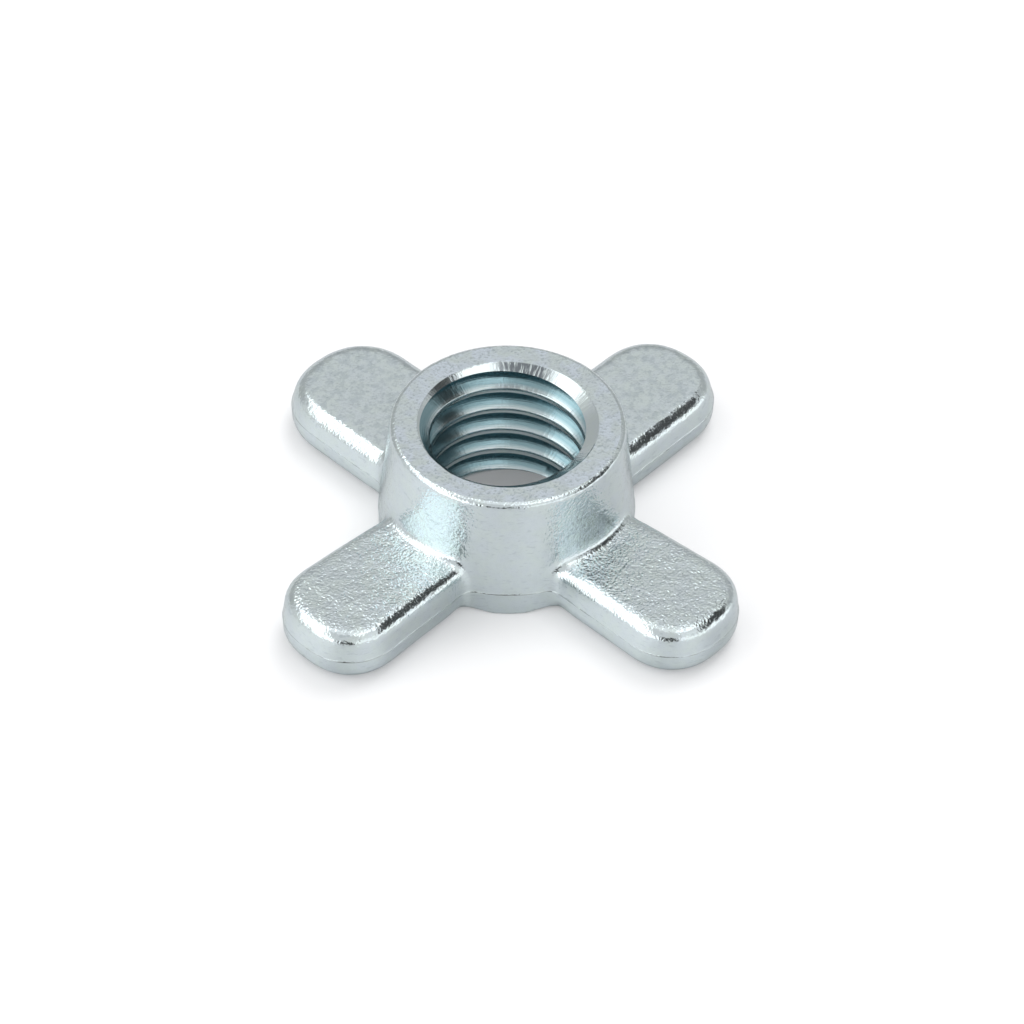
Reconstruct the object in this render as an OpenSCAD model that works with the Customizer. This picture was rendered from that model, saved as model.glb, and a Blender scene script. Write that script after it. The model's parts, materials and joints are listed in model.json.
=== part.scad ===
// Tie nut: a drop-forged four-wing nut, bored for a 1/2 in coarse thread.
// The hub's axis is Z, the seat is the plane Z = 0 and the wings run along X and Y.
// The bore is the thread's minor cylinder, so that the hole keeps one true radius.

/* [Hub] */
// Height from the seat to the machined rim
hub_height = 9.7; // [8.5:0.1:12]
// Diameter of the flat machined rim
rim_diameter = 15.5; // [14.5:0.1:17]
// Radius of the rolled edge between the rim and the hub's side
rim_edge_radius = 0.4; // [0.2:0.05:0.8]
// Break along the foot of the hub
foot_edge_radius = 0.3; // [0.1:0.05:0.5]

/* [Bore] */
// Minor diameter of the 1/2 in thread, with 13 threads to the inch
bore_diameter = 10.8; // [10.6:0.05:11]
// Diameter of the countersink at the rim
countersink_diameter = 12.5; // [12:0.1:13.2]
// Full angle of the countersink
countersink_angle = 120; // [90:5:140]
// Edge break where the bore leaves through the seat
exit_break = 0.15; // [0.1:0.05:0.4]

/* [Wings] */
// Number of wings
wing_count = 4; // [2:1:4]
// Distance across two opposite wings, at the parting plane
wing_span = 38.9; // [34:0.1:46]
// Width of a wing at the parting plane
wing_width = 8.9; // [7:0.1:10]
// Thickness of a wing
wing_thickness = 4.0; // [3.5:0.1:5]
// Radius along the upper edge of a wing
upper_edge_radius = 1.3; // [0.6:0.1:1.5]
// Radius along the lower edge of a wing
lower_edge_radius = 1.1; // [0.4:0.1:1.4]

/* [Forging] */
// Height of the parting plane, where the two dies met
parting_height = 1.9; // [1.6:0.1:2]
// Draft of every wall above the parting plane
draft_angle = 5.9; // [3:0.1:8]
// Fillet between the top of a wing and the hub
root_fillet = 0.8; // [0.4:0.1:1.4]
// Fillet between the side of a wing and the hub
side_fillet = 1.3; // [0.8:0.1:1.6]

/* [Hidden] */
$fn = 96;
zinc = "#C3CCCE";

rim_radius = rim_diameter / 2;
wing_half = wing_width / 2;
wing_reach = wing_span / 2;
draft_slope = tan(draft_angle);

// Centre of the rolled edge under the rim, as [radius, height]
rim_edge_centre = [rim_radius, hub_height - rim_edge_radius];

// Radius of the hub's wall, which leans inwards above the parting plane
function hub_radius(z) =
    rim_radius + rim_edge_radius / cos(draft_angle)
    + (rim_edge_centre.y - max(z, parting_height)) * draft_slope;

// Half width of a wing, which leans inwards above the parting plane
function wing_side(z) = wing_half - max(0, z - parting_height) * draft_slope;

// Centres of the two edge radii in a wing's section, as [half width, height]
upper_edge_z = wing_thickness - upper_edge_radius;
upper_edge_centre = [wing_side(upper_edge_z) - upper_edge_radius / cos(draft_angle), upper_edge_z];
lower_edge_centre = [wing_half - lower_edge_radius, lower_edge_radius];

// A unit step from an edge's centre to where it meets the drafted wall
to_wall = [cos(draft_angle), sin(draft_angle)];

// Centre of the fillet between a wing's top and the hub's wall, as [radius, height]
root_centre_z = wing_thickness + root_fillet;
root_centre = [hub_radius(root_centre_z) + root_fillet / cos(draft_angle), root_centre_z];

// Centre of the upright fillet between a wing's side and the hub, as [x, y]. The fillet runs
// this little way into the hub's wall, so that the two cross in a clean edge.
run_in = 0.01;
side_centre_y = wing_half + side_fillet;
side_centre_radius = hub_radius(0) + side_fillet - run_in;
side_centre = [sqrt(pow(side_centre_radius, 2) - pow(side_centre_y, 2)), side_centre_y];

// The wings start inside the hub's wall, clear of the bore
wing_start = (bore_diameter / 2 + hub_radius(0)) / 2;
tip_centre_x = wing_reach - wing_half;
overlap = 0.5;

// Half of a wing's section: flat foot, upright skirt, drafted side and two rounded edges
module wing_half_section() {
    wall_top = upper_edge_centre + upper_edge_radius * to_wall;
    polygon([
        [0, 0],
        [lower_edge_centre.x, 0],
        [wing_half, lower_edge_centre.y],
        [wing_half, parting_height],
        wall_top,
        [upper_edge_centre.x, wing_thickness],
        [0, wing_thickness]
    ]);
    translate(lower_edge_centre) circle(r = lower_edge_radius);
    translate(upper_edge_centre) circle(r = upper_edge_radius);
}

// The straight length of a wing, from inside the hub to the round tip
module wing_bar() {
    translate([wing_start, 0, 0])
        rotate([90, 0, 90])
            linear_extrude(height = tip_centre_x - wing_start) {
                wing_half_section();
                mirror([1, 0]) wing_half_section();
            }
}

// The round tip, which carries the bar's section half a turn round
module wing_tip() {
    translate([tip_centre_x, 0, 0])
        rotate([0, 0, -90])
            rotate_extrude(angle = 180) wing_half_section();
}

// The fillet ring round the hub, kept only over a wing's flat top
module root_blend() {
    wall_foot = root_centre - root_fillet * to_wall;
    flat_half = upper_edge_centre.x;
    intersection() {
        rotate_extrude()
            difference() {
                polygon([
                    [wall_foot.x - overlap, wing_thickness - overlap],
                    [root_centre.x, wing_thickness - overlap],
                    root_centre,
                    wall_foot,
                    [wall_foot.x - overlap, wall_foot.y]
                ]);
                translate(root_centre) circle(r = root_fillet);
            }
        translate([0, -flat_half, 0]) cube([wing_reach, 2 * flat_half, hub_height]);
    }
}

// The space beside a wing's section, measured from the centre of the upright fillet
module side_cutter_profile() {
    margin = 1;
    difference() {
        translate([0, -margin]) square([side_centre.y, wing_thickness + 2 * margin]);
        translate([side_centre.y, 0]) mirror([1, 0]) wing_half_section();
    }
}

// One upright fillet between a wing's side and the hub. Its cutter is the section's own
// outline turned round the fillet's centre, so draft and rounded edges run on into the hub.
module side_blend() {
    direction = side_centre / norm(side_centre);
    hub_touch = direction * hub_radius(0);
    inner_y = upper_edge_centre.x - overlap;
    difference() {
        linear_extrude(height = wing_thickness)
            polygon([
                [side_centre.x, inner_y],
                side_centre,
                hub_touch,
                hub_touch - direction * overlap,
                [hub_touch.x - overlap, inner_y]
            ]);
        translate(side_centre) rotate_extrude() side_cutter_profile();
    }
}

// One wing with the fillets that join it to the hub
module wing() {
    wing_bar();
    wing_tip();
    root_blend();
    side_blend();
    mirror([0, 1, 0]) side_blend();
}

// The hub as a revolved forging, with an upright skirt below the parting plane
module hub() {
    wall_top = rim_edge_centre + rim_edge_radius * to_wall;
    foot_radius = hub_radius(0);
    rotate_extrude() {
        polygon([
            [0, 0],
            [foot_radius - foot_edge_radius, 0],
            [foot_radius, foot_edge_radius],
            [foot_radius, parting_height],
            wall_top,
            [rim_radius, hub_height],
            [0, hub_height]
        ]);
        translate([foot_radius - foot_edge_radius, foot_edge_radius]) circle(r = foot_edge_radius);
        translate(rim_edge_centre) circle(r = rim_edge_radius);
    }
}

// The tapping bore, with its countersink and the small break at the seat
module bore() {
    bore_radius = bore_diameter / 2;
    mouth_radius = countersink_diameter / 2;
    sink_slope = tan(countersink_angle / 2);
    sink_depth = (mouth_radius - bore_radius) / sink_slope;
    translate([0, 0, -1]) cylinder(d = bore_diameter, h = hub_height + 2);
    translate([0, 0, hub_height - sink_depth])
        cylinder(r1 = bore_radius, r2 = mouth_radius + sink_slope, h = sink_depth + 1);
    translate([0, 0, -1])
        cylinder(r1 = bore_radius + exit_break + 1, r2 = bore_radius, h = exit_break + 1);
}

module wing_nut() {
    color(zinc)
        difference() {
            union() {
                hub();
                for (i = [0 : wing_count - 1])
                    rotate([0, 0, 360 * i / wing_count]) wing();
            }
            bore();
        }
}

wing_nut();
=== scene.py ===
"""Four-wing tie nut: a zinc plated forging with a faced rim, a countersink and a tapped bore.

The blank is shaped in millimetres as the forge makes it, then faced, bored, countersunk and
tapped. The finished nut is brought to metres, in the same place as the solid it stands for.
"""

import json
import logging
import math
from abc import ABC, abstractmethod
from collections.abc import Callable, Iterator, Sequence
from contextlib import contextmanager
from dataclasses import dataclass, field
from enum import Enum
from typing import ClassVar, NamedTuple

import bmesh
import bpy
from mathutils import Matrix, Vector

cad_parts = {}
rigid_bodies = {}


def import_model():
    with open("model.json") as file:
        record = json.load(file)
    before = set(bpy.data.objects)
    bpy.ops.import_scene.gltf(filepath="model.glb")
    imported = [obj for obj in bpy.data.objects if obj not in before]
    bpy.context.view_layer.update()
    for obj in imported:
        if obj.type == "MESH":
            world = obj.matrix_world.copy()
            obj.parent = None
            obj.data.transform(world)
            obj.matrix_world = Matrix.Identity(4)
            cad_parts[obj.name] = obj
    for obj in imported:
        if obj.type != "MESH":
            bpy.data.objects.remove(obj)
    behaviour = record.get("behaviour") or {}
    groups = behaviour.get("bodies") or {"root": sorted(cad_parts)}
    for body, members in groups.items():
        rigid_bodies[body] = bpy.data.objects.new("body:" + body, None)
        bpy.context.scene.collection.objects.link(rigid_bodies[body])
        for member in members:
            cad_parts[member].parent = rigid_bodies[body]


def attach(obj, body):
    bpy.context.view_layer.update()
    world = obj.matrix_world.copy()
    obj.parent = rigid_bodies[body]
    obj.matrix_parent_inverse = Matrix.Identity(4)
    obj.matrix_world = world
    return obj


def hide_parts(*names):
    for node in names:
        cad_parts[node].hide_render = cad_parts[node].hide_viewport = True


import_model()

log = logging.getLogger("tie_nut")

MM = 0.001
"""One millimetre in metres."""

HAIR = 1e-4
"""Millimetres within which two points count as one."""

TOUCH = 0.01
"""Millimetres within which a point counts as lying on a plane."""

ROUND = 0.5
"""Profile of a bevel that leaves a true quarter circle."""

CUT_TOLERANCE = 1e-5
"""Millimetres within which a point counts as lying in a level cut."""

SMOOTHING = 0.5
"""Share of the way that a point moves towards its neighbours in one round of smoothing."""

LEVEL_FACE = 0.999
"""Upward part of the normal beyond which a face counts as level."""

Test = Callable[[Vector], bool]
Colour = tuple[float, float, float]


# Bench work: selecting and shaping


def pick_only(*objects: bpy.types.Object) -> bpy.types.Object:
    """Selects these objects and nothing else, and makes the first one active.

    Args:
        objects: The objects to select.

    Returns:
        The first object.
    """
    for other in bpy.context.view_layer.objects:
        other.select_set(False)
    for item in objects:
        item.select_set(True)
    bpy.context.view_layer.objects.active = objects[0]
    return objects[0]


@contextmanager
def edit_mode(item: bpy.types.Object, kind: str = "VERT") -> Iterator[None]:
    """Opens an object in edit mode with nothing selected.

    Args:
        item: The mesh object.
        kind: VERT, EDGE or FACE.

    Yields:
        Nothing.
    """
    pick_only(item)
    bpy.ops.object.mode_set(mode="EDIT")
    bpy.ops.mesh.select_mode(type=kind)
    bpy.ops.mesh.select_all(action="DESELECT")
    try:
        yield
    finally:
        bpy.ops.object.mode_set(mode="OBJECT")


def select_points(item: bpy.types.Object, test: Test) -> None:
    """Selects the vertices whose place passes a test, with the edges and faces they hold."""
    work = bmesh.from_edit_mesh(item.data)
    for vertex in work.verts:
        vertex.select_set(test(vertex.co))
    work.select_flush_mode()
    work.select_flush(True)
    bmesh.update_edit_mesh(item.data)


def select_edges(item: bpy.types.Object, test: Test) -> None:
    """Selects the edges whose two ends both pass a test."""
    work = bmesh.from_edit_mesh(item.data)
    for edge in work.edges:
        edge.select_set(all(test(vertex.co) for vertex in edge.verts))
    bmesh.update_edit_mesh(item.data)


def select_uprights(item: bpy.types.Object, test: Test) -> None:
    """Selects the upright edges whose two ends both pass a test."""
    work = bmesh.from_edit_mesh(item.data)
    for edge in work.edges:
        first, second = (vertex.co for vertex in edge.verts)
        upright = (first - second).xy.length < HAIR
        edge.select_set(upright and test(first) and test(second))
    bmesh.update_edit_mesh(item.data)


def select_faces(item: bpy.types.Object, test: Callable[[Vector, Vector], bool]) -> None:
    """Selects the faces whose centre and normal pass a test."""
    work = bmesh.from_edit_mesh(item.data)
    work.normal_update()
    for face in work.faces:
        face.select_set(test(face.calc_center_median(), face.normal))
    bmesh.update_edit_mesh(item.data)


def cut_level(height: float, keep_below: bool | None = None) -> None:
    """Cuts the open mesh along a level plane.

    Args:
        height: Height of the plane.
        keep_below: True keeps what is below and closes the cut, False keeps what is above,
            and None only adds the edges.
    """
    bpy.ops.mesh.select_all(action="SELECT")
    bpy.ops.mesh.bisect(
        plane_co=(0.0, 0.0, height),
        plane_no=(0.0, 0.0, 1.0),
        use_fill=keep_below is not None,
        clear_outer=keep_below is True,
        clear_inner=keep_below is False,
        threshold=CUT_TOLERANCE,
    )


def apply_modifier(item: bpy.types.Object, kind: str, **settings: object) -> None:
    """Adds a modifier, sets it and applies it.

    Args:
        item: The mesh object.
        kind: The modifier's type.
        settings: The modifier's settings by name.
    """
    pick_only(item)
    modifier = item.modifiers.new(kind.title(), kind)
    for name, value in settings.items():
        setattr(modifier, name, value)
    bpy.ops.object.modifier_apply(modifier=modifier.name)


def fix_place(name: str) -> bpy.types.Object:
    """Names the newest object and brings its place into its mesh."""
    item = bpy.context.object
    item.name = name
    pick_only(item)
    bpy.ops.object.transform_apply(location=True, rotation=True, scale=True)
    return item


def roll_edges(item: bpy.types.Object, test: Test, offset: float, steps: int) -> None:
    """Rolls the edges whose two ends pass a test into quarter rounds.

    Args:
        item: The mesh object.
        test: What each end has to pass.
        offset: How far from an edge its round starts.
        steps: The number of facets in a round.
    """
    with edit_mode(item, "EDGE"):
        select_edges(item, test)
        bpy.ops.mesh.bevel(offset=offset, segments=steps, profile=ROUND)


def face_outwards(item: bpy.types.Object) -> None:
    """Turns every face of a closed mesh outwards."""
    with edit_mode(item):
        bpy.ops.mesh.select_all(action="SELECT")
        bpy.ops.mesh.normals_make_consistent(inside=False)


def cut_away(item: bpy.types.Object, cutter: bpy.types.Object) -> None:
    """Takes a cutter out of an object, leaves the cutter's finish on the cut, and deletes it."""
    apply_modifier(
        item,
        "BOOLEAN",
        operation="DIFFERENCE",
        solver="MANIFOLD",
        material_mode="TRANSFER",
        object=cutter,
    )
    bpy.data.objects.remove(cutter, do_unlink=True)


def direction(azimuth: float, elevation: float) -> Vector:
    """The unit vector that points to an azimuth and an elevation, both in degrees."""
    turn = math.radians(azimuth)
    tilt = math.radians(elevation)
    return Vector(
        (math.cos(tilt) * math.cos(turn), math.cos(tilt) * math.sin(turn), math.sin(tilt))
    )


def fillet_offset(radius: float, draft: float) -> float:
    """How far a fillet's tangent points lie from a corner between a level and a drafted face."""
    return radius * math.tan((math.pi / 2 - draft) / 2)


def shape_noise(name: str, grain: float) -> bpy.types.Texture:
    """Makes a soft noise for a Displace modifier.

    Args:
        name: The texture's name.
        grain: Size of its lumps.

    Returns:
        The texture.
    """
    noise = bpy.data.textures.new(name, "CLOUDS")
    noise.noise_scale = grain
    noise.noise_depth = 1
    return noise


# Shader work: sockets in expressions


class Signal:
    """A shader socket that can stand in an arithmetic expression."""

    def __init__(self, graph: "Graph", socket: bpy.types.NodeSocket) -> None:
        """Wraps one output socket of a graph."""
        self.graph = graph
        self.socket = socket

    def _math(self, operation: str, *values: "Signal | float") -> "Signal":
        """Adds one Math node over these values and returns its result."""
        return self.graph.node("ShaderNodeMath", {"operation": operation}, *values)

    def __add__(self, other: "Signal | float") -> "Signal":
        """Adds a value."""
        return self._math("ADD", self, other)

    def __radd__(self, other: float) -> "Signal":
        """Adds to a number."""
        return self._math("ADD", other, self)

    def __sub__(self, other: "Signal | float") -> "Signal":
        """Takes a value away."""
        return self._math("SUBTRACT", self, other)

    def __rsub__(self, other: float) -> "Signal":
        """Takes this from a number."""
        return self._math("SUBTRACT", other, self)

    def __mul__(self, other: "Signal | float") -> "Signal":
        """Multiplies by a value."""
        return self._math("MULTIPLY", self, other)

    def power(self, exponent: float) -> "Signal":
        """Raises this to a power."""
        return self._math("POWER", self, exponent)

    def absolute(self) -> "Signal":
        """Drops the sign."""
        return self._math("ABSOLUTE", self)

    def parts(self) -> tuple["Signal", "Signal", "Signal"]:
        """Splits a vector into its three parts."""
        split = self.graph.raw("ShaderNodeSeparateXYZ")
        self.graph.feed(split.inputs[0], self)
        across, deep, up = (Signal(self.graph, socket) for socket in split.outputs)
        return across, deep, up

    def rise(self, low: float, high: float) -> "Signal":
        """Goes smoothly from 0 at low to 1 at high.

        Args:
            low: Where the rise starts.
            high: Where it ends, above low.

        Returns:
            The step.
        """
        return self.graph.node(
            "ShaderNodeMapRange", {"interpolation_type": "SMOOTHSTEP"}, self, low, high, 0.0, 1.0
        )

    def band(self, centre: float, half: float, soft: float) -> "Signal":
        """Is 1 within half of a centre and falls to 0 over soft beyond it.

        Args:
            centre: The middle of the band.
            half: Half its width.
            soft: The width of each soft edge.

        Returns:
            The band.
        """
        away = (self - centre).absolute()
        return 1.0 - away.rise(half, half + soft)


class Graph:
    """A node tree that is written as expressions."""

    def __init__(self, tree: bpy.types.NodeTree) -> None:
        """Empties the tree."""
        self.tree = tree
        tree.nodes.clear()

    def raw(self, kind: str, settings: dict | None = None) -> bpy.types.Node:
        """Adds a node and sets its properties."""
        node = self.tree.nodes.new(kind)
        for name, value in (settings or {}).items():
            setattr(node, name, value)
        return node

    def feed(self, socket: bpy.types.NodeSocket, value: object) -> None:
        """Links a signal to an input socket, or sets it to a plain value."""
        if isinstance(value, Signal):
            self.tree.links.new(value.socket, socket)
        elif value is not None:
            socket.default_value = value

    def node(
        self,
        kind: str,
        settings: dict | None = None,
        *values: object,
        out: int | str = 0,
        **named: object,
    ) -> Signal:
        """Adds a node with its settings, then feeds its sockets.

        Args:
            kind: The node's type.
            settings: Its properties.
            values: Values or signals of its inputs in order, None to skip one.
            out: The output to return, by place or name.
            named: Values or signals of its inputs by name, with _ for a space.

        Returns:
            The chosen output.
        """
        node = self.raw(kind, settings)
        for socket, value in zip(node.inputs, values):
            self.feed(socket, value)
        for name, value in named.items():
            self.feed(node.inputs[name.replace("_", " ")], value)
        return Signal(self, node.outputs[out])

    def mix(self, mask: "Signal | float", low: object, high: object) -> Signal:
        """Mixes two colours.

        Args:
            mask: 0 gives the first colour and 1 the second.
            low: The first colour.
            high: The second colour.

        Returns:
            The colour.
        """
        node = self.raw("ShaderNodeMix", {"data_type": "RGBA"})
        self.feed(node.inputs["Factor"], mask)
        colours = [socket for socket in node.inputs if socket.type == "RGBA"]
        self.feed(colours[0], low)
        self.feed(colours[1], high)
        return Signal(self, next(s for s in node.outputs if s.type == "RGBA"))


def rgb(colour: Colour) -> tuple[float, float, float, float]:
    """A colour socket's value from a linear colour."""
    return (*colour, 1.0)


def grey(level: float) -> tuple[float, float, float, float]:
    """A colour socket's value for a neutral grey."""
    return rgb((level, level, level))


# Finishes


class Surface(Enum):
    """The three ways in which the plated steel was made."""

    FORGED = "zinc_on_forging"
    TURNED = "zinc_on_turned_face"
    TAPPED = "zinc_on_thread"


class Skin(NamedTuple):
    """What a surface gives its shader, with the height of its bump in millimetres."""

    tone: Signal
    roughness: Signal
    height: Signal
    relief: float


@dataclass(frozen=True)
class Grain:
    """A noise over the piece, and the span of it that shows as spots."""

    cells: float
    layers: float = 2.0
    harshness: float = 0.5
    low: float = 0.0
    high: float = 1.0

    def over(self, point: Signal) -> Signal:
        """The noise, from 0 to 1, at a place in millimetres."""
        return point.graph.node(
            "ShaderNodeTexNoise",
            None,
            point,
            Scale=self.cells,
            Detail=self.layers,
            Roughness=self.harshness,
        )

    def swing(self, point: Signal) -> Signal:
        """The noise about its middle, from -0.5 to 0.5."""
        return self.over(point) - 0.5

    def spots(self, point: Signal) -> Signal:
        """The noise's peaks as a mask, which rises from its low to its high."""
        return self.over(point).rise(self.low, self.high)


@dataclass(frozen=True)
class ZincPlate(ABC):
    """Bright bluish zinc plate. The steel under it is forged, turned or tapped.

    A grain has its cells to the millimetre, a depth is in millimetres, and a share is how much
    of a stain or of a bump shows.
    """

    surface: ClassVar[Surface]
    blue: Colour = (0.76, 0.845, 0.878)
    green: Colour = (0.77, 0.862, 0.858)
    grey: Colour = (0.52, 0.60, 0.64)
    tint: Grain = Grain(0.9, 3.0, 0.6, low=0.35, high=0.65)
    polish: float = 0.15

    @abstractmethod
    def skin(self, graph: Graph, point: Signal, colour: Signal) -> Skin:
        """What lies under and in the plate.

        Args:
            graph: The material's graph.
            point: Place on the piece, in millimetres.
            colour: The clean plate's colour.

        Returns:
            The skin.
        """

    def make(self) -> bpy.types.Material:
        """Builds the material.

        Returns:
            The material, named for its surface.
        """
        material = bpy.data.materials.new(self.surface.value)
        material.use_nodes = True
        graph = Graph(material.node_tree)
        place = graph.node("ShaderNodeTexCoord", out="Object")
        point = graph.node("ShaderNodeVectorMath", {"operation": "SCALE"}, place, Scale=1.0 / MM)
        colour = graph.mix(self.tint.spots(point), rgb(self.blue), rgb(self.green))
        skin = self.skin(graph, point, colour)
        normal = graph.node(
            "ShaderNodeBump", None, Strength=skin.relief, Distance=MM, Height=skin.height
        )
        shader = graph.node(
            "ShaderNodeBsdfPrincipled",
            None,
            Base_Color=skin.tone,
            Metallic=1.0,
            Roughness=skin.roughness,
            Normal=normal,
        )
        output = graph.raw("ShaderNodeOutputMaterial")
        graph.feed(output.inputs["Surface"], shader)
        return material


class Spot(NamedTuple):
    """What the forging's skin goes by at one place.

    It holds the place and its height in millimetres, the upward part of the normal, and three
    masks: 1 on level faces, 1 on the rougher side of the nut, and 0 along the wrinkles' furrows.
    """

    point: Signal
    up: Signal
    facing: Signal
    level: Signal
    side: Signal
    worm: Signal


@dataclass(frozen=True)
class ForgedPlate(ZincPlate):
    """Plate over the forging: wrinkles, grey stains and painted shade, with a painted dark seam
    where the dies met.

    The wrinkles are deeper on the level faces of one side of the nut, and a slanting face is
    smoother than a wall.
    """

    surface: ClassVar[Surface] = Surface.FORGED
    relief: float = 1.0
    level_span: tuple[float, float] = (0.9, 0.99)
    slant_middle: float = 0.6
    slant_half: float = 0.25
    slant_soft: float = 0.1
    rough_way: tuple[float, float] = (-0.733, -0.68)
    rough_span: tuple[float, float] = (-4.0, 6.0)
    wall_share: float = 0.85
    slant_loss: float = 0.3
    smooth_side_loss: float = 0.35
    rough_side_gain: float = 1.3
    lumps: Grain = Grain(1.1)
    lump_depth: float = 0.05
    worms: Grain = Grain(3.1, 1.0)
    worm_depth: float = 0.07
    grit: Grain = Grain(5.0)
    grit_depth: float = 0.018
    clouds: Grain = Grain(2.0, 3.0, 0.65, low=0.42, high=0.66)
    wall_clouds: float = 0.1
    level_clouds: float = 0.42
    rough_side_clearing: float = 0.32
    flecks: Grain = Grain(5.5, 2.0, 0.6, low=0.58, high=0.7)
    fleck_share: float = 0.35
    rough_side_fleck_loss: float = 0.2
    # painted shade along the wrinkles: width and strength of the dark lines that follow them
    crack_width: float = 0.03
    wall_cracks: float = 0.05
    level_cracks: float = 0.25
    dashes: Grain = Grain(1.5, 2.0, 0.6, low=0.58, high=0.7)
    dash_squash: float = 3.2
    dash_share: float = 0.4
    # painted shade that greys the wall below the parting line
    skirt_share: float = 0.06
    skirt_soft: float = 0.1
    seam: float = 1.9
    seam_offset: float = 0.04
    seam_half: float = 0.012
    seam_soft: float = 0.035
    seam_wander: Grain = Grain(0.5, 3.0, 0.7, low=0.4, high=0.6)
    seam_sway: float = 0.08
    seam_share: float = 0.2
    seam_dark_share: float = 0.6
    seam_roughness: float = 0.3
    # colour of the painted shade line along the die seam
    dirt: Colour = (0.10, 0.09, 0.08)
    dulling: Grain = Grain(0.8, 3.0, 0.6)
    dulling_share: float = 0.12

    def skin(self, graph: Graph, point: Signal, colour: Signal) -> Skin:
        """Wrinkles, stains, painted shade and the painted seam line of the forging."""
        across, deep, up = point.parts()
        facing = graph.node("ShaderNodeNewGeometry", out="Normal").parts()[2]
        level = facing.rise(*self.level_span)
        side = (across * self.rough_way[0] + deep * self.rough_way[1]).rise(*self.rough_span)
        worm = self.worms.swing(point).absolute()
        spot = Spot(point, up, facing, level, side, worm)
        line = self.seam_line(spot)
        # grey stains mixed with painted shade on the wrinkles and below the parting line
        tone = graph.mix(self.stains(graph, spot), colour, rgb(self.grey))
        # the seam line is painted shade
        tone = graph.mix(line, tone, rgb(self.dirt))
        dull = self.dulling.swing(point) * self.dulling_share
        roughness = self.polish + dull + line * self.seam_roughness
        return Skin(tone, roughness, self.wrinkles(spot), self.relief)

    def wrinkles(self, spot: Spot) -> Signal:
        """Height of the forging's wrinkles, in millimetres."""
        slant = spot.facing.band(self.slant_middle, self.slant_half, self.slant_soft)
        share = spot.level * (spot.side * self.rough_side_gain - self.smooth_side_loss)
        share = share + self.wall_share - slant * self.slant_loss
        lumps = self.lumps.over(spot.point) * self.lump_depth
        grit = self.grit.over(spot.point) * self.grit_depth
        return (lumps - spot.worm * self.worm_depth + grit) * share

    def stains(self, graph: Graph, spot: Spot) -> Signal:
        """Mask of the grey stains (clouds, flecks and flat dashes) and of painted shade along the
        wrinkles and below the parting line.

        Args:
            graph: The material's graph.
            spot: What the skin goes by.

        Returns:
            The mask.
        """
        fleck_share = spot.level * (self.fleck_share - spot.side * self.rough_side_fleck_loss)
        flecks = self.flecks.spots(spot.point) * fleck_share
        cloud_share = spot.level * (self.level_clouds - spot.side * self.rough_side_clearing)
        clouds = self.clouds.spots(spot.point) * (cloud_share + self.wall_clouds)
        # painted shade: dark lines along the wrinkles, strongest on level faces of the rougher side
        wrinkle_shade_share = spot.level * spot.side * self.level_cracks + self.wall_cracks
        painted_wrinkle_shade = (1.0 - spot.worm.rise(0.0, self.crack_width)) * wrinkle_shade_share
        squash = (1.0, 1.0, self.dash_squash)
        flat = graph.node("ShaderNodeVectorMath", {"operation": "MULTIPLY"}, spot.point, squash)
        dashes = self.dashes.spots(flat) * (1.0 - spot.level) * self.dash_share
        # painted shade: the wall is darkened towards grey below the parting line
        painted_underside_shade = (1.0 - spot.up.rise(self.seam - self.skirt_soft, self.seam)) * self.skirt_share
        return clouds + flecks + painted_wrinkle_shade + dashes + painted_underside_shade

    def seam_line(self, spot: Spot) -> Signal:
        """Mask of the broken dark line where the dies met, painted shade along the seam."""
        wander = self.seam_wander.over(spot.point)
        broken = wander.rise(self.seam_wander.low, self.seam_wander.high)
        height = spot.up + wander * self.seam_sway
        line = height.band(self.seam + self.seam_offset, self.seam_half, self.seam_soft)
        return line * (broken * self.seam_dark_share + self.seam_share)


@dataclass(frozen=True)
class CutPlate(ZincPlate):
    """Plate over steel that a tool has cut, with the marks of its chatter."""

    relief: float = 0.8
    soot: Colour = (0.16, 0.18, 0.20)
    marks: Grain = Grain(1.0, 2.0, 0.6, low=0.3, high=0.55)
    marks_round: float = 34.0
    marks_out: float = 1.2
    marks_up: float = 0.8
    burnt_turn: float = 0.58
    burnt_half: float = 0.2
    burnt_soft: float = 0.25
    burnt_span: tuple[float, float] = (7.6, 8.4)
    burnt_share: float = 0.95

    def unrolled(
        self, graph: Graph, point: Signal, stretch: tuple[float, float, float]
    ) -> tuple[Signal, Signal, Signal]:
        """Lays the wall out flat.

        Args:
            graph: The material's graph.
            point: Place on the piece, in millimetres.
            stretch: What the angle, the distance from the axis and the height are multiplied by.

        Returns:
            The flat place, the angle in radians and the distance from the axis.
        """
        across, deep, up = point.parts()
        angle = graph.node("ShaderNodeMath", {"operation": "ARCTAN2"}, deep, across)
        radius = (across * across + deep * deep).power(0.5)
        parts = (angle * stretch[0], radius * stretch[1], up * stretch[2])
        return graph.node("ShaderNodeCombineXYZ", None, *parts), angle, radius

    def chatter(self, graph: Graph, point: Signal) -> tuple[Signal, Signal, Signal]:
        """Fine marks that run straight down the wall, and the specks where they tore the top.

        Args:
            graph: The material's graph.
            point: Place on the piece, in millimetres.

        Returns:
            The marks, the mask of the torn specks and the distance from the axis.
        """
        stretch = (self.marks_round, self.marks_out, self.marks_up)
        flat, angle, radius = self.unrolled(graph, point, stretch)
        marks = self.marks.over(flat)
        height = point.parts()[2]
        torn = angle.band(self.burnt_turn, self.burnt_half, self.burnt_soft)
        torn = torn * height.rise(*self.burnt_span) * self.burnt_share
        return marks, torn * marks.rise(self.marks.low, self.marks.high), radius


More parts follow.
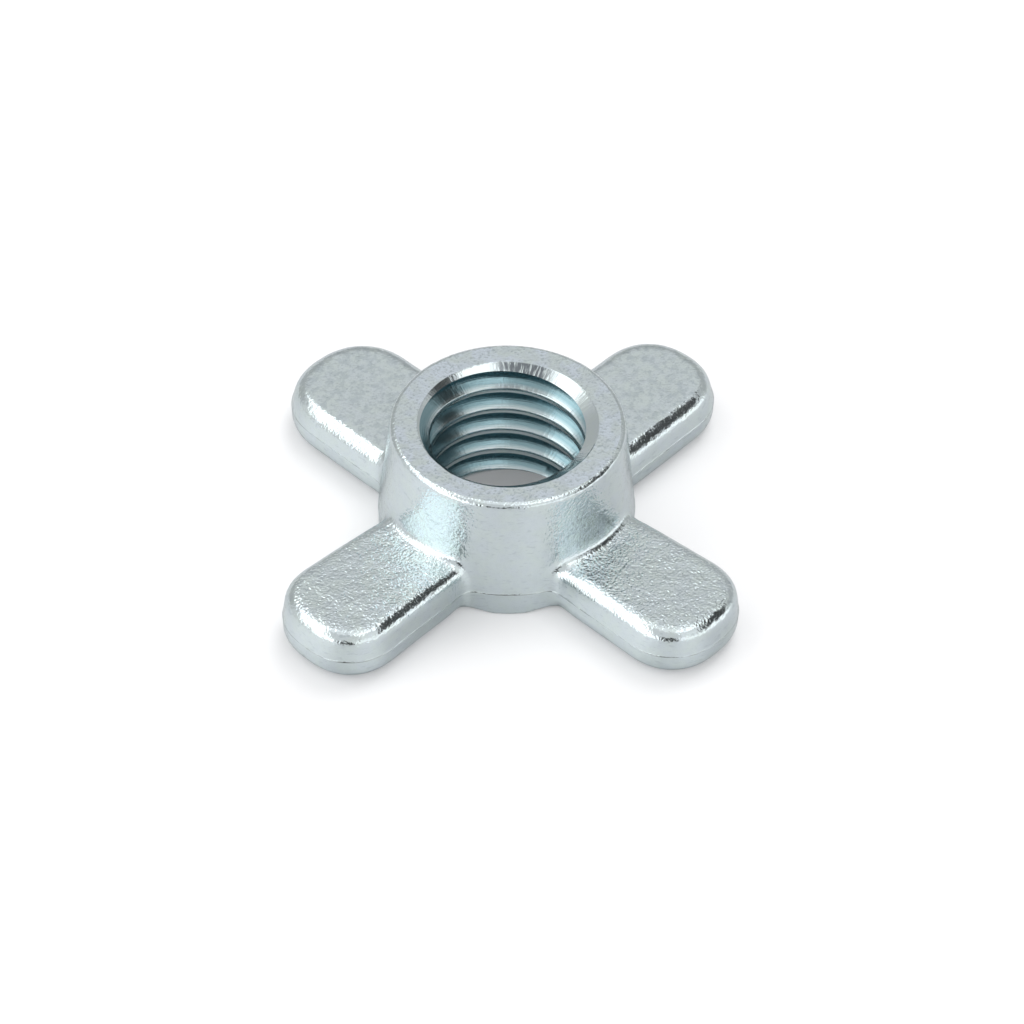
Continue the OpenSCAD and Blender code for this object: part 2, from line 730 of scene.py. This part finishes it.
@dataclass(frozen=True)
class TurnedPlate(CutPlate):
    """Matte, faintly speckled plate on the faced rim, and brighter plate on the countersink."""

    surface: ClassVar[Surface] = Surface.TURNED
    sky: Colour = (0.80, 0.89, 0.97)
    rim_span: tuple[float, float] = (6.2, 6.35)
    speckle: Grain = Grain(4.5, low=0.54, high=0.68)
    speckle_share: float = 0.5
    speckle_depth: float = 0.05
    speckle_roughness: float = 0.15
    mottle: Grain = Grain(1.3, 3.0, 0.6, low=0.45, high=0.7)
    mottle_share: float = 0.2
    drift: Grain = Grain(0.7, low=0.4, high=0.6)
    mark_depth: float = 0.016

    def skin(self, graph: Graph, point: Signal, colour: Signal) -> Skin:
        """Speckle on the rim and the tool's marks on the countersink."""
        marks, torn, radius = self.chatter(graph, point)
        rim = radius.rise(*self.rim_span)
        speckle = self.speckle.over(point)
        spots = speckle.rise(self.speckle.low, self.speckle.high) * self.speckle_share
        shade = spots + self.mottle.spots(point) * self.mottle_share
        tone = graph.mix(self.drift.spots(point) * rim, colour, rgb(self.sky))
        tone = graph.mix(shade * rim, tone, rgb(self.grey))
        tone = graph.mix(torn * (1.0 - rim), tone, rgb(self.soot))
        roughness = self.polish + rim * speckle * self.speckle_roughness
        height = speckle * rim * self.speckle_depth + marks * (1.0 - rim) * self.mark_depth
        return Skin(tone, roughness, height, self.relief)


@dataclass(frozen=True)
class TappedPlate(CutPlate):
    """Darker teal plate in the thread, with painted shade deepening towards its root and the tap's
    fine lines along its flanks.
    """

    surface: ClassVar[Surface] = Surface.TAPPED
    # teal tint of the thread, laid on more heavily towards the root as painted shade
    teal: Colour = (0.28, 0.44, 0.485)
    root_span: tuple[float, float] = (5.4, 5.85)
    root_share: float = 0.85
    crest_share: float = 0.1
    lines: Grain = Grain(1.0, 2.0, 0.6, low=0.5, high=0.65)
    lines_round: float = 2.5
    lines_out: float = 15.0
    line_share: float = 0.2
    line_depth: float = 0.012
    mark_depth: float = 0.016
    mark_roughness: float = 0.08

    def skin(self, graph: Graph, point: Signal, colour: Signal) -> Skin:
        """Lines along the thread, marks across it and painted shade that darkens the root."""
        marks, torn, radius = self.chatter(graph, point)
        stretch = (self.lines_round, self.lines_out, 0.0)
        lines = self.lines.over(self.unrolled(graph, point, stretch)[0])
        # painted shade: the thread darkens towards its root
        root = radius.rise(*self.root_span)
        drawn = lines.rise(self.lines.low, self.lines.high) * self.line_share
        dark = root * self.root_share + self.crest_share + drawn
        tone = graph.mix(dark, colour, rgb(self.teal))
        tone = graph.mix(torn * (1.0 - root), tone, rgb(self.soot))
        roughness = self.polish + marks * self.mark_roughness
        height = marks * self.mark_depth + lines * self.line_depth
        return Skin(tone, roughness, height, self.relief)


# The nut


@dataclass(frozen=True)
class Dies:
    """What every wall of the forging takes from the two dies."""

    parting: float = 1.9
    draft: float = math.radians(5.9)
    stock: float = 0.015

    @property
    def slope(self) -> float:
        """How far a wall leans in for each millimetre of height."""
        return math.tan(self.draft)


@dataclass
class Hub:
    """The round hub of the blank."""

    dies: Dies
    height: float = 9.7
    rim_radius: float = 7.85
    rim_roll: float = 0.35
    rim_steps: int = 6
    foot_roll: float = 0.12
    foot_steps: int = 4
    sides: int = 240

    def wall(self, height: float) -> float:
        """Radius of the wall at a height."""
        centre = self.height - self.rim_roll
        lean = centre - max(height, self.dies.parting)
        return self.rim_radius + self.rim_roll / math.cos(self.dies.draft) + lean * self.dies.slope

    def build(self) -> bpy.types.Object:
        """Raises the hub from a disc, drafts its wall and rolls its two edges.

        Returns:
            The hub, not yet bored.
        """
        top = self.height + self.dies.stock
        base = -self.dies.stock
        foot = self.wall(0.0)
        bpy.ops.mesh.primitive_circle_add(
            vertices=self.sides, radius=foot, fill_type="NGON", location=(0.0, 0.0, base)
        )
        hub = fix_place("hub_blank")
        with edit_mode(hub, "FACE"):
            bpy.ops.mesh.select_all(action="SELECT")
            bpy.ops.mesh.extrude_region_move(
                TRANSFORM_OT_translate={"value": (0.0, 0.0, self.dies.parting - base)}
            )
            bpy.ops.mesh.extrude_region_move(
                TRANSFORM_OT_translate={"value": (0.0, 0.0, top - self.dies.parting)}
            )
            shrink = self.wall(top) / foot
            bpy.ops.transform.resize(value=(shrink, shrink, 1.0))
        roll = fillet_offset(self.rim_roll, self.dies.draft)
        roll_edges(hub, lambda p: p.z > top - TOUCH, roll, self.rim_steps)
        roll_edges(hub, lambda p: p.z < TOUCH, self.foot_roll, self.foot_steps)
        face_outwards(hub)
        return hub


@dataclass
class Wing:
    """One flat wing with a full round nose, shaped along X and then turned into its place.

    Its turn and draft are in degrees.
    """

    dies: Dies
    turn: float
    reach: float
    tip_half: float
    root_half: float
    thickness: float
    draft: float
    upper_roll: float = 1.05
    root_x: float = 3.5
    upper_steps: int = 10
    lower_roll: float = 1.1
    lower_steps: int = 8
    nose_share: float = 0.985
    nose_profile: float = 0.53
    nose_steps: int = 40
    lift: float = 0.06

    @property
    def slope(self) -> float:
        """How far the wing's own wall leans in for each millimetre of height."""
        return math.tan(math.radians(self.draft))

    def half_width(self, along: float) -> float:
        """Half width at the parting line, at a distance from the axis."""
        taper = (self.tip_half - self.root_half) / (self.reach - self.tip_half - self.root_x)
        return self.root_half + (along - self.root_x) * taper

    def beside(self, point: Vector) -> float:
        """How far a point lies outside the wing's side wall."""
        angle = math.radians(self.turn)
        along = point.x * math.cos(angle) + point.y * math.sin(angle)
        across = abs(point.y * math.cos(angle) - point.x * math.sin(angle))
        lean = max(0.0, point.z - self.dies.parting) * self.slope
        return across - self.half_width(min(along, self.reach - self.tip_half)) + lean

    def build(self) -> bpy.types.Object:
        """Tapers a bar, rounds its nose, drafts its upper wall and rolls its edges.

        Returns:
            The wing, in its place.
        """
        level = self.dies.parting
        base = self.lift
        # The bar starts a millimetre wide on each side, so that its ends resize to half widths
        bpy.ops.mesh.primitive_cube_add(
            size=1.0,
            location=((self.root_x + self.reach) / 2, 0.0, (level + base) / 2),
            scale=(self.reach - self.root_x, 2.0, level - base),
        )
        wing = fix_place("wing_blank")
        with edit_mode(wing):
            for end in (self.root_x, self.reach):
                bpy.ops.mesh.select_all(action="DESELECT")
                select_points(wing, lambda p: abs(p.x - end) < TOUCH)
                bpy.ops.transform.resize(value=(1.0, self.half_width(end), 1.0))
        with edit_mode(wing, "EDGE"):
            select_uprights(wing, lambda p: p.x > self.reach - TOUCH)
            bpy.ops.mesh.bevel(
                offset=self.nose_share * self.tip_half,
                segments=self.nose_steps,
                profile=self.nose_profile,
            )
        with edit_mode(wing, "FACE"):
            rise = self.thickness - level
            select_faces(wing, lambda centre, normal: normal.z > LEVEL_FACE)
            bpy.ops.mesh.dissolve_faces()
            bpy.ops.mesh.inset(thickness=rise * self.slope)
            bpy.ops.transform.translate(value=(0.0, 0.0, rise))
        roll = fillet_offset(self.upper_roll, math.radians(self.draft))
        roll_edges(wing, lambda p: p.z > self.thickness - TOUCH, roll, self.upper_steps)
        roll_edges(wing, lambda p: p.z < base + TOUCH, self.lower_roll, self.lower_steps)
        face_outwards(wing)
        wing.rotation_euler.z = math.radians(self.turn)
        pick_only(wing)
        bpy.ops.object.transform_apply(location=False, rotation=True, scale=False)
        return wing


@dataclass
class Thread:
    """The tapped bore: a right-hand thread with its countersink, and a lip along each crest."""

    minor_radius: float = 5.4
    major_radius: float = 6.38
    pitch: float = 1.954
    phase: float = 0.685
    root_flat: float = 0.3908
    flank: float = math.radians(30.0)
    lip: float = 0.09
    lip_flank: float = math.radians(56.0)
    sink_radius: float = 6.3
    sink_half_angle: float = math.radians(59.0)
    exit_break: float = 0.15
    sink_run_in: float = 0.3
    overrun: float = 1.0
    overlap: float = 0.05
    steps: int = 144

    def drill(self, height: float) -> bpy.types.Object:
        """The plain drill, through the whole height."""
        bpy.ops.mesh.primitive_cylinder_add(
            vertices=self.steps,
            radius=self.minor_radius,
            depth=height + 4 * self.overrun,
            location=(0.0, 0.0, height / 2),
        )
        return fix_place("drill")

    def sink(self, height: float) -> bpy.types.Object:
        """The countersink, which stands over the rim."""
        over = self.overrun
        slope = math.tan(self.sink_half_angle)
        depth = (self.sink_radius - self.minor_radius) / slope + self.sink_run_in
        bpy.ops.mesh.primitive_cone_add(
            vertices=self.steps,
            radius1=self.sink_radius - depth * slope,
            radius2=self.sink_radius + over * slope,
            depth=depth + over,
            location=(0.0, 0.0, height + (over - depth) / 2),
        )
        return fix_place("countersink")

    def edge_break(self) -> bpy.types.Object:
        """The small break where the bore leaves through the seat."""
        over = self.overrun
        bpy.ops.mesh.primitive_cone_add(
            vertices=self.steps,
            radius1=self.minor_radius + self.exit_break + over,
            radius2=self.minor_radius - over,
            depth=self.exit_break + 2 * over,
            location=(0.0, 0.0, self.exit_break / 2),
        )
        return fix_place("edge_break")

    def tap(self, height: float) -> bpy.types.Object:
        """The tap: one bar of the thread's section, wound from below the seat to over the rim.

        Args:
            height: The nut's height.

        Returns:
            The closed helical bar.
        """
        inner = self.minor_radius - self.overlap
        shoulder = self.minor_radius + self.lip
        mouth = self.root_flat + 2 * (self.major_radius - shoulder) * math.tan(self.flank)
        flare = mouth + 2 * (shoulder - inner) * math.tan(self.lip_flank)
        start = self.phase - 2 * self.pitch
        turns = math.ceil((height - start) / self.pitch) + 1
        bpy.ops.mesh.primitive_plane_add(
            size=1.0, location=(shoulder, 0.0, start), rotation=(math.pi / 2, 0.0, 0.0)
        )
        bar = fix_place("tap")
        with edit_mode(bar, "EDGE"):
            select_edges(bar, lambda p: p.x > shoulder)
            bpy.ops.mesh.extrude_region_move(TRANSFORM_OT_translate={"value": (0.5, 0.0, 0.0)})
            bpy.ops.mesh.select_all(action="DESELECT")
            select_edges(bar, lambda p: abs(p.x - shoulder - 0.5) < TOUCH)
            bpy.ops.mesh.dissolve_edges(use_verts=False)
        # Each edge's place on the unit bar from the shoulder, then its radius and its width
        stations = (
            (-0.5, inner, flare),
            (0.5, shoulder, mouth),
            (1.0, self.major_radius, self.root_flat),
        )
        with edit_mode(bar):
            for offset, radius, width in stations:
                here = shoulder + offset
                bpy.ops.mesh.select_all(action="DESELECT")
                select_points(bar, lambda p: abs(p.x - here) < TOUCH)
                bpy.ops.transform.resize(value=(1.0, 1.0, width))
                bpy.ops.transform.translate(value=(radius - here, 0.0, 0.0))
            bpy.ops.mesh.select_all(action="SELECT")
            bpy.ops.mesh.delete(type="ONLY_FACE")
        apply_modifier(
            bar,
            "SCREW",
            axis="Z",
            angle=2 * math.pi,
            screw_offset=self.pitch,
            iterations=turns,
            steps=self.steps,
            render_steps=self.steps,
            use_merge_vertices=True,
            merge_threshold=HAIR,
        )
        with edit_mode(bar):
            bpy.ops.mesh.select_non_manifold(
                extend=False,
                use_wire=False,
                use_boundary=True,
                use_multi_face=False,
                use_non_contiguous=False,
                use_verts=False,
            )
            bpy.ops.mesh.fill_holes(sides=2 * len(stations))
        face_outwards(bar)
        return bar


@dataclass
class TieNut:
    """The whole nut: blank, machining and plate.

    The lumps pair the size of a lump with its height, and every length is in millimetres.
    """

    dies: Dies = field(default_factory=Dies)
    voxel: float = 0.18
    blend: float = 1.5
    blend_gain: float = 1.8
    blend_rounds: int = 60
    side_share: float = 0.7
    skin_rounds: int = 3
    lumps: Sequence[tuple[float, float]] = ((3.0, 0.05), (0.8, 0.0175))
    skin_fade: float = 0.8
    flash_half: float = 0.06
    flash_rise: float = 0.03
    weld: float = 0.002
    crease: float = math.radians(35.0)

    def __post_init__(self) -> None:
        """Makes the sub-assemblies from the same dies, each wing with its own small differences."""
        self.hub = Hub(self.dies)
        self.wings = (
            Wing(
                self.dies, turn=0.8, reach=19.55, tip_half=4.45, root_half=4.6,
                thickness=3.84, draft=14.0, upper_roll=1.2,
            ),
            Wing(
                self.dies, turn=88.7, reach=19.45, tip_half=4.85, root_half=4.85,
                thickness=3.7, draft=13.0, upper_roll=1.25,
            ),
            Wing(
                self.dies, turn=179.1, reach=19.65, tip_half=4.37, root_half=3.85,
                thickness=4.1, draft=7.0,
            ),
            Wing(
                self.dies, turn=271.5, reach=19.55, tip_half=4.43, root_half=3.95,
                thickness=3.95, draft=6.3,
            ),
        )
        self.thread = Thread()

    def forge(self) -> bpy.types.Object:
        """Strikes the hub and its wings into one even skin.

        Returns:
            The blank.
        """
        hub = self.hub.build()
        wings = [wing.build() for wing in self.wings]
        blank = pick_only(hub, *wings)
        bpy.ops.object.join()
        apply_modifier(blank, "REMESH", mode="VOXEL", voxel_size=self.voxel, adaptivity=0.0)
        blank.name = "blank"
        return blank

    def crease_weight(self, point: Vector) -> float:
        """How near a point lies to the crease between the hub and a wing, from 0 to 1."""
        around = math.hypot(point.x, point.y) - self.hub.wall(point.z)
        quarter = round(math.atan2(point.y, point.x) / (math.pi / 2))
        wing = self.wings[quarter % len(self.wings)]
        beside = wing.beside(point)
        over = point.z - wing.thickness
        away = max(abs(around), abs(max(beside, over)))
        share = 1.0 if over > beside else self.side_share
        return share * max(0.0, 1.0 - away / self.blend)

    def soften_roots(self, blank: bpy.types.Object) -> None:
        """Rounds the creases where the wings meet the hub."""
        roots = blank.vertex_groups.new(name="roots")
        for vertex in blank.data.vertices:
            weight = self.crease_weight(vertex.co)
            if weight > 0.0:
                roots.add([vertex.index], min(1.0, self.blend_gain * weight), "REPLACE")
        rounds = self.blend_rounds
        apply_modifier(
            blank, "SMOOTH", factor=SMOOTHING, iterations=rounds, vertex_group="roots"
        )
        apply_modifier(blank, "SMOOTH", factor=SMOOTHING, iterations=self.skin_rounds)

    def roughen(self, blank: bpy.types.Object) -> None:
        """Gives the skin the low lumps of a forging and the raised line where the dies met."""
        skin = blank.vertex_groups.new(name="skin")
        for vertex in blank.data.vertices:
            below = (self.hub.height - vertex.co.z) / self.skin_fade
            weight = min(1.0, below, vertex.co.z / self.skin_fade)
            if weight > 0.0:
                skin.add([vertex.index], weight, "REPLACE")
        for grain, strength in self.lumps:
            apply_modifier(
                blank,
                "DISPLACE",
                texture=shape_noise("lumps", grain),
                strength=strength,
                vertex_group="skin",
            )
        level = self.dies.parting
        with edit_mode(blank):
            for height in (level - self.flash_half, level + self.flash_half, level):
                cut_level(height)
            select_points(blank, lambda p: abs(p.z - level) < HAIR)
            bpy.ops.transform.shrink_fatten(value=self.flash_rise)

    def machine(self, nut: bpy.types.Object) -> None:
        """Faces the rim, levels the seat, then bores, countersinks and taps the nut."""
        plates = (ForgedPlate(), TurnedPlate(), TappedPlate())
        finishes = {plate.surface: plate.make() for plate in plates}
        nut.data.materials.clear()
        nut.data.materials.append(finishes[Surface.FORGED])
        nut.data.materials.append(finishes[Surface.TURNED])
        height = self.hub.height
        with edit_mode(nut, "FACE"):
            cut_level(height, keep_below=True)
            cut_level(0.0, keep_below=False)
        tools = (
            (self.thread.drill(height), Surface.TAPPED),
            (self.thread.sink(height), Surface.TURNED),
            (self.thread.edge_break(), Surface.TURNED),
            (self.thread.tap(height), Surface.TAPPED),
        )
        for tool, kind in tools:
            tool.data.materials.append(finishes[kind])
            cut_away(nut, tool)
            log.info("cut with %s: %d faces", kind.value, len(nut.data.polygons))

    def finish(self, nut: bpy.types.Object) -> None:
        """Smooths the shading, keeps machined edges crisp and brings the nut to metres."""
        turned = [m.name for m in nut.data.materials].index(Surface.TURNED.value)

        def on_rim(centre: Vector, normal: Vector) -> bool:
            """Whether a face belongs to the flat rim."""
            return normal.z > LEVEL_FACE and centre.z > self.hub.height - TOUCH

        for face in nut.data.polygons:
            if on_rim(face.center, face.normal):
                face.material_index = turned
        with edit_mode(nut, "FACE"):
            bpy.ops.mesh.select_all(action="SELECT")
            bpy.ops.mesh.remove_doubles(threshold=self.weld)
            select_faces(nut, on_rim)
            bpy.ops.mesh.region_to_loop()
            bpy.ops.mesh.mark_sharp()
        with edit_mode(nut, "VERT"):
            bpy.ops.mesh.select_all(action="SELECT")
            bpy.ops.transform.resize(value=(MM, MM, MM), center_override=(0.0, 0.0, 0.0))
        pick_only(nut)
        bpy.ops.object.shade_smooth_by_angle(angle=self.crease, keep_sharp_edges=True)

    def build(self) -> bpy.types.Object:
        """Makes the nut and puts it in the place of the solid.

        Returns:
            The finished piece.
        """
        nut = self.forge()
        self.soften_roots(nut)
        self.roughen(nut)
        self.machine(nut)
        self.finish(nut)
        nut.name = "tie_nut"
        nut.data.name = "tie_nut"
        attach(nut, "root")
        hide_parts("wing_nut")
        return nut


# The studio


@dataclass(frozen=True)
class Panel:
    """A light or dark panel of the studio, by where it stands seen from the nut.

    Its angles are in degrees, and it leans by so many degrees of azimuth to one of elevation.
    """

    azimuth: float
    elevation: float
    half_width: float
    half_height: float
    level: float
    soft: float = 8.0
    lean: float = 0.0

    def mask(self, azimuth: Signal, elevation: Signal, heading: float) -> Signal:
        """Where the panel covers the surroundings.

        Args:
            azimuth: Azimuth of a direction, in degrees.
            elevation: Elevation of the direction, in degrees.
            heading: What is added to the panel's own azimuth.

        Returns:
            1 on the panel and 0 beyond its soft edge.
        """
        middle = (elevation - self.elevation) * self.lean + self.azimuth + heading
        away = azimuth.graph.node(
            "ShaderNodeMath", {"operation": "WRAP"}, azimuth - middle, 180.0, -180.0
        )
        across = away.band(0.0, self.half_width, self.soft)
        return across * elevation.band(self.elevation, self.half_height, self.soft)


OVERHEAD = Panel(90.0, 84.0, half_width=180.0, half_height=12.0, level=0.9)
HIGH_STRIP = Panel(-10.0, 67.0, half_width=64.0, half_height=7.0, level=1.4, soft=5.0)
LEFT_TOP = Panel(156.0, 56.0, half_width=24.0, half_height=8.0, level=1.9)
FRONT_LOW = Panel(308.0, 6.0, half_width=18.0, half_height=16.0, level=1.1, soft=12.0)
FRONT_MIDDLE = Panel(315.0, 38.0, half_width=18.0, half_height=10.0, level=0.85)
RIGHT_LOW = Panel(-5.0, 3.0, half_width=22.0, half_height=8.0, level=1.25, soft=6.0)
KEY_BOX = Panel(204.0, 28.0, half_width=21.0, half_height=27.0, level=1.58, lean=-0.9)
FRONT_FLAG = Panel(264.0, 1.0, half_width=13.0, half_height=16.0, level=0.05, soft=6.0)
RIGHT_FLAG = Panel(8.0, 41.0, half_width=19.0, half_height=17.0, level=0.06, soft=5.0, lean=1.0)
BACK_SHADE = Panel(90.0, 18.0, half_width=60.0, half_height=8.0, level=0.45, soft=16.0)


@dataclass
class Studio:
    """Pale floor, white surroundings and soft panels of light, each laid over those before it."""

    heading: float = -47.14
    surround: float = 0.67
    panels: Sequence[Panel] = (
        OVERHEAD,
        HIGH_STRIP,
        LEFT_TOP,
        FRONT_LOW,
        FRONT_MIDDLE,
        RIGHT_LOW,
        KEY_BOX,
        FRONT_FLAG,
        RIGHT_FLAG,
        BACK_SHADE,
    )
    lamp_azimuth: float = 60.0
    lamp_elevation: float = 58.0
    lamp_distance: float = 0.5
    lamp_size: float = 0.3
    lamp_watts: float = 0.9
    floor_size: float = 3.0
    floor_colour: Colour = (0.8, 0.8, 0.81)
    mirrored_colour: Colour = (0.64, 0.64, 0.65)
    mirrored_sheen: float = 0.25
    sheen_roughness: float = 0.35
    bore_glow: float = 0.075
    open_glow: float = 0.205
    glow_span: tuple[float, float] = (5.0 * MM, 7.5 * MM)

    def lay_floor(self) -> bpy.types.Object:
        """Lays the pale floor that the nut stands on. Metal mirrors it a little darker.

        Returns:
            The floor.
        """
        bpy.ops.mesh.primitive_plane_add(size=self.floor_size, location=(0.0, 0.0, 0.0))
        floor = bpy.context.object
        floor.name = "floor"
        material = bpy.data.materials.new("pale_floor")
        material.use_nodes = True
        graph = Graph(material.node_tree)
        path = graph.raw("ShaderNodeLightPath")
        eye, gloss = (Signal(graph, path.outputs[n]) for n in ("Is Camera Ray", "Is Glossy Ray"))
        shade = graph.mix(gloss, rgb(self.floor_colour), rgb(self.mirrored_colour))
        matte = graph.node("ShaderNodeBsdfDiffuse", None, shade)
        sheen = graph.node("ShaderNodeBsdfGlossy", None, grey(1.0), self.sheen_roughness)
        lit = graph.node("ShaderNodeMixShader", None, gloss * self.mirrored_sheen, matte, sheen)
        place = graph.node("ShaderNodeTexCoord", out="Object")
        away = graph.node("ShaderNodeVectorMath", {"operation": "LENGTH"}, place, out="Value")
        faint = graph.mix(away.rise(*self.glow_span), grey(self.bore_glow), grey(self.open_glow))
        glow = graph.node("ShaderNodeEmission", None, faint, eye)
        both = graph.node("ShaderNodeAddShader", None, lit, glow)
        output = graph.raw("ShaderNodeOutputMaterial")
        graph.feed(output.inputs["Surface"], both)
        floor.data.materials.append(material)
        return floor

    def hang_lamp(self) -> bpy.types.Object:
        """Hangs the soft lamp that throws the nut's shadow to the left, out of its reflections.

        Returns:
            The lamp.
        """
        way = direction(self.lamp_azimuth + self.heading, self.lamp_elevation)
        bpy.ops.object.light_add(type="AREA", location=way * self.lamp_distance)
        lamp = bpy.context.object
        lamp.name = "lamp"
        lamp.rotation_euler = way.to_track_quat("Z", "Y").to_euler()
        lamp.data.size = self.lamp_size
        lamp.data.energy = self.lamp_watts
        lamp.visible_glossy = False
        return lamp

    def light(self) -> None:
        """Sets the surroundings: white to the camera, panels to the nut."""
        world = bpy.data.worlds.new("studio")
        world.use_nodes = True
        bpy.context.scene.world = world
        graph = Graph(world.node_tree)
        across, deep, up = graph.node("ShaderNodeTexCoord", out="Generated").parts()
        degree = math.degrees(1.0)
        azimuth = graph.node("ShaderNodeMath", {"operation": "ARCTAN2"}, deep, across) * degree
        elevation = graph.node("ShaderNodeMath", {"operation": "ARCSINE"}, up) * degree
        level: Signal | float = self.surround
        for panel in self.panels:
            mask = panel.mask(azimuth, elevation, self.heading)
            level = mask * (panel.level - level) + level
        seen = graph.node("ShaderNodeLightPath", out="Is Camera Ray")
        level = seen * (1.0 - level) + level
        sky = graph.node("ShaderNodeBackground", None, grey(1.0), level)
        output = graph.raw("ShaderNodeOutputWorld")
        graph.feed(output.inputs["Surface"], sky)


@dataclass
class Viewpoint:
    """The camera: where it stands round the nut, and how it is framed.

    Its angles are in degrees, and its other sizes are in millimetres.
    """

    azimuth: float = -137.14
    elevation: float = 44.285
    distance: float = 348.75
    roll: float = 0.959
    right: float = 0.374
    rise: float = 0.835
    lens: float = 174.48
    sensor: float = 36.0
    clip_start: float = 10.0

    def place(self) -> bpy.types.Object:
        """Places the camera and makes it the scene's own.

        Returns:
            The camera.
        """
        out = direction(self.azimuth, self.elevation)
        level = direction(self.azimuth + 90.0, 0.0)
        upward = out.cross(level)
        lean = math.radians(self.roll)
        side = level * math.cos(lean) + upward * math.sin(lean)
        head = upward * math.cos(lean) - level * math.sin(lean)
        spot = out * self.distance + level * self.right + upward * self.rise
        bpy.ops.object.camera_add(location=spot * MM)
        camera = bpy.context.object
        camera.name = "camera"
        pose = Matrix((side, head, out)).transposed().to_4x4()
        pose.translation = spot * MM
        camera.matrix_world = pose
        camera.data.lens = self.lens
        camera.data.sensor_width = self.sensor
        camera.data.clip_start = self.clip_start * MM
        bpy.context.scene.camera = camera
        return camera


def main() -> None:
    """Builds the studio and the nut, and reports them."""
    logging.basicConfig(level=logging.INFO, format="%(name)s: %(message)s")
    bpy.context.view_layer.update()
    bpy.context.scene.view_settings.view_transform = "Standard"
    Viewpoint().place()
    studio = Studio()
    studio.light()
    studio.lay_floor()
    studio.hang_lamp()
    nut = TieNut().build()
    log.info("%s: %d faces", nut.name, len(nut.data.polygons))


if __name__ == "__main__":
    main()
